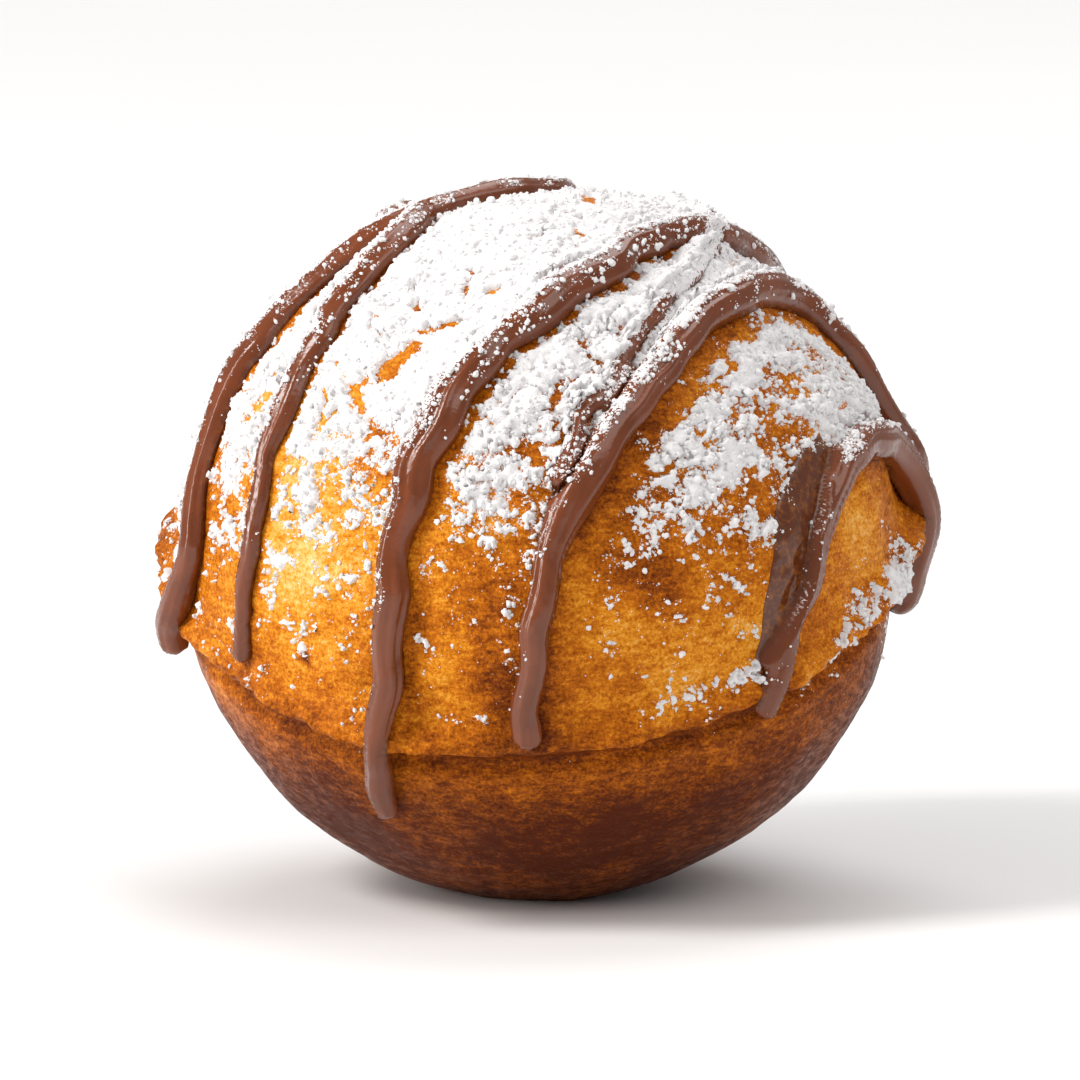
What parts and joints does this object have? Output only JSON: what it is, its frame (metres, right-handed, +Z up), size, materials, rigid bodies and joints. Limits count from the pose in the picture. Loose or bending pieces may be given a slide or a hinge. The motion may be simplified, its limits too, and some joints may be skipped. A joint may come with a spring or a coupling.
{
  "type": "waffle ball",
  "caption": "Bite-size round waffle baked in a two-half mould, with a lip at the joint and poured chocolate drizzle, resting on a small flat spot.",
  "frame": {"origin": "middle of the small flat spot that the ball rests on", "axes": "+Z up, -Y towards the side that shows in the picture, +X to the right of that view; the mould's axis leans 24 degrees forwards and 4 degrees left of +Z"},
  "size_m": [0.0443, 0.0429, 0.04],
  "materials": {
    "crust": "golden fried batter, mottled, slightly oily",
    "chocolate": "milk chocolate, satin to glossy",
    "powdered_sugar": "dry white powder, matt"
  },
  "bodies": {
    "root": {"waffle_ball": "crust"}
  },
  "joints": []
}
